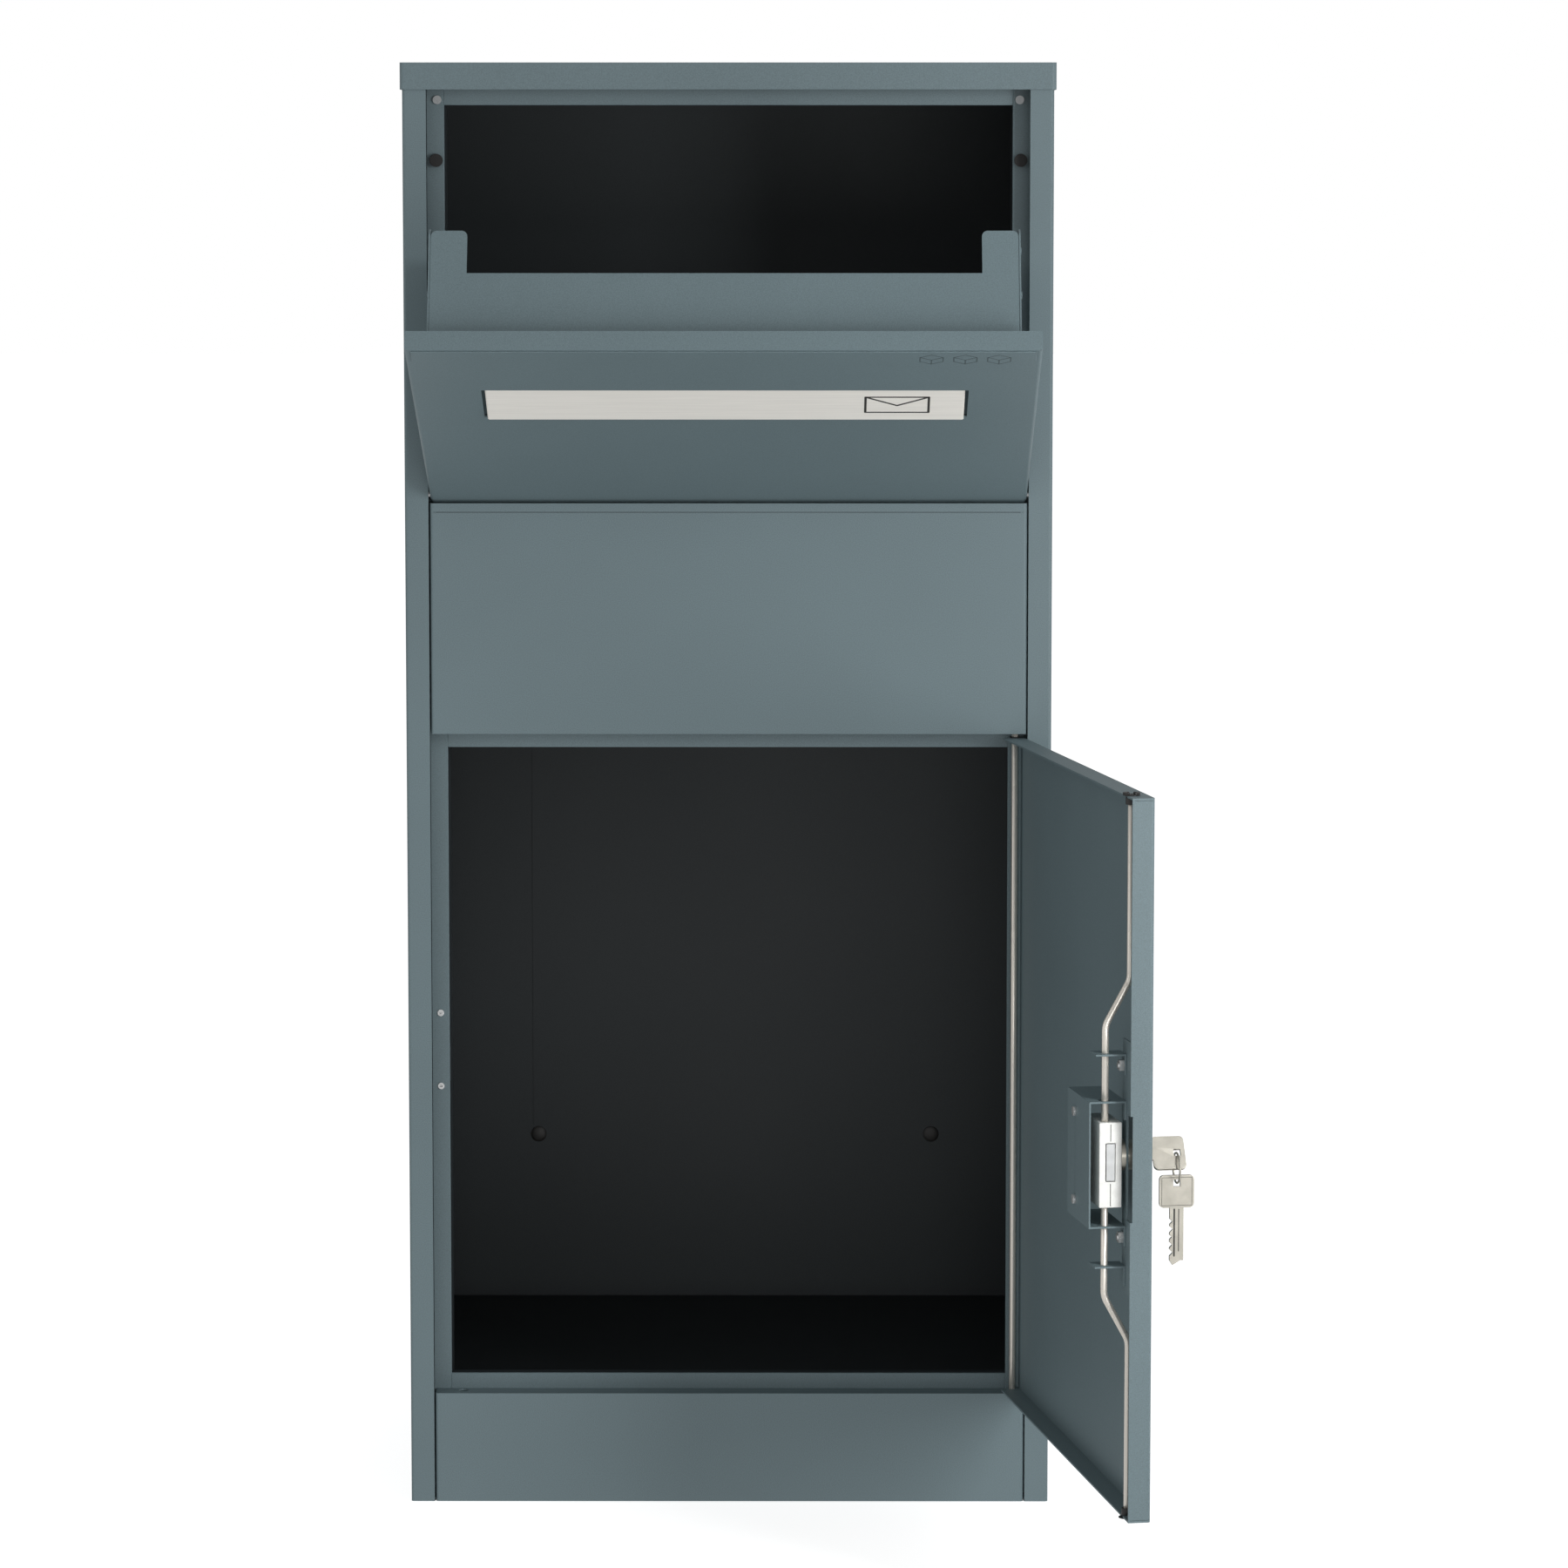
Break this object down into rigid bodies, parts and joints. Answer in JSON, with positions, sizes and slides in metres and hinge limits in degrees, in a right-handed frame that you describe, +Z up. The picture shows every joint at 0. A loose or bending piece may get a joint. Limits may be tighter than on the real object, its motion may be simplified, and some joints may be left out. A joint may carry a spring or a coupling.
{
  "type": "parcel drop box",
  "caption": "Free-standing steel parcel drop box with a tilt-out hopper flap, a letter slot in it and a lockable emptying door below.",
  "frame": {"origin": "centre of the four floor anchor holes, on the floor plane", "axes": "+Z up, -Y towards the front where the flap and the door open, +X to the side the door is hinged on"},
  "size_m": [0.5272, 0.7476, 1.01],
  "materials": {
    "powder_coat": "fine-textured matt powder coat, grey-blue",
    "inner_coat": "fine-textured matt powder coat, dark inside",
    "zinc_plate": "bright zinc plate",
    "stainless": "satin stainless steel",
    "nickel": "nickel plate",
    "rubber": "matt",
    "black_plastic": "matt"
  },
  "bodies": {
    "cabinet": {"side_panel_left": "powder_coat", "side_panel_right": "powder_coat", "back_panel": "inner_coat", "top_lid": "powder_coat", "base_plate": "inner_coat", "compartment_floor": "inner_coat", "plinth_panel": "powder_coat", "middle_panel": "powder_coat", "upper_jamb_left": "powder_coat", "upper_jamb_right": "powder_coat", "upper_top_rail": "powder_coat", "lower_jamb_left": "powder_coat", "lower_jamb_right": "powder_coat", "lower_top_rail": "powder_coat", "lower_bottom_rail": "powder_coat", "flap_bumpers": "rubber", "jamb_screws": "zinc_plate", "strike_plate": "zinc_plate", "strike_rivets": "zinc_plate", "flap_hinge_bracket_left": "inner_coat", "flap_hinge_bracket_right": "inner_coat", "flap_hinge_pins": "zinc_plate", "door_hinge_rod": "stainless", "hinge_washers": "black_plastic", "hinge_clips": "zinc_plate"},
    "parcel_flap": {"flap_pan": "powder_coat", "grip_strip": "powder_coat", "catch_plate": "powder_coat", "flap_cheek_left": "powder_coat", "flap_cheek_right": "powder_coat", "drop_floor": "inner_coat", "cheek_rivets": "zinc_plate", "letter_slot_frame": "inner_coat", "letter_flap_pin": "stainless"},
    "letter_plate": {"letter_flap": "stainless"},
    "door": {"door_pan": "powder_coat", "lock_bracket": "powder_coat", "lock_case": "zinc_plate", "lock_cylinder": "nickel", "rod_guide_upper": "powder_coat", "rod_guide_lower": "powder_coat", "guide_nuts": "zinc_plate", "bracket_screws": "zinc_plate", "rod_bushes": "black_plastic"},
    "plug": {"lock_plug": "nickel", "door_key": "nickel"},
    "bolt": {"lock_bolt": "zinc_plate"},
    "rod_up": {"upper_rod": "stainless"},
    "rod_down": {"lower_rod": "stainless"},
    "ring": {"key_ring": "nickel"},
    "hanging_key": {"spare_key": "nickel"}
  },
  "joints": [
    {"name": "flap_tilt", "type": "hinge", "parent": "cabinet", "child": "parcel_flap", "pos_m": [0, -0.1705, 0.712], "axis": [1, 0, 0], "range_deg": [-66.5, 0]},
    {"name": "letter_swing", "type": "hinge", "parent": "parcel_flap", "child": "letter_plate", "pos_m": [0, -0.3582, 0.79318], "axis": [1, 0, 0], "range_deg": [0, 60], "stiffness_Nm_per_rad": 0.03, "springref_deg": -28.65},
    {"name": "door_swing", "type": "hinge", "parent": "cabinet", "child": "door", "pos_m": [0.1998, -0.1684, 0.311], "axis": [0, 0, 1], "range_deg": [-99.4, 3]},
    {"name": "plug_turn", "type": "hinge", "parent": "door", "child": "plug", "pos_m": [0.26919, -0.54715, 0.3123], "axis": [0.9866, 0.1633, 0], "range_deg": [0, 90]},
    {"name": "bolt_slide", "type": "slide", "parent": "door", "child": "bolt", "axis": [0.1633, -0.9866, 0], "range_m": [0, 0.0081]},
    {"name": "upper_rod_slide", "type": "slide", "parent": "door", "child": "rod_up", "axis": [0, 0, 1], "range_m": [0, 0.0101]},
    {"name": "lower_rod_slide", "type": "slide", "parent": "door", "child": "rod_down", "axis": [0, 0, -1], "range_m": [0, 0.0101]},
    {"name": "ring_swing", "type": "hinge", "parent": "plug", "child": "ring", "pos_m": [0.28942, -0.5438, 0.3123], "axis": [0.1633, -0.9866, 0], "range_deg": [-4, 30]},
    {"name": "spare_key_swing", "type": "hinge", "parent": "ring", "child": "hanging_key", "pos_m": [0.28942, -0.5438, 0.2931], "axis": [0.1633, -0.9866, 0], "range_deg": [-3, 30]}
  ],
  "couplings": [
    {"joint": "bolt_slide", "follows": "plug_turn", "m_per_rad": 0.005093},
    {"joint": "upper_rod_slide", "follows": "plug_turn", "m_per_rad": 0.0063662},
    {"joint": "lower_rod_slide", "follows": "plug_turn", "m_per_rad": 0.0063662}
  ]
}
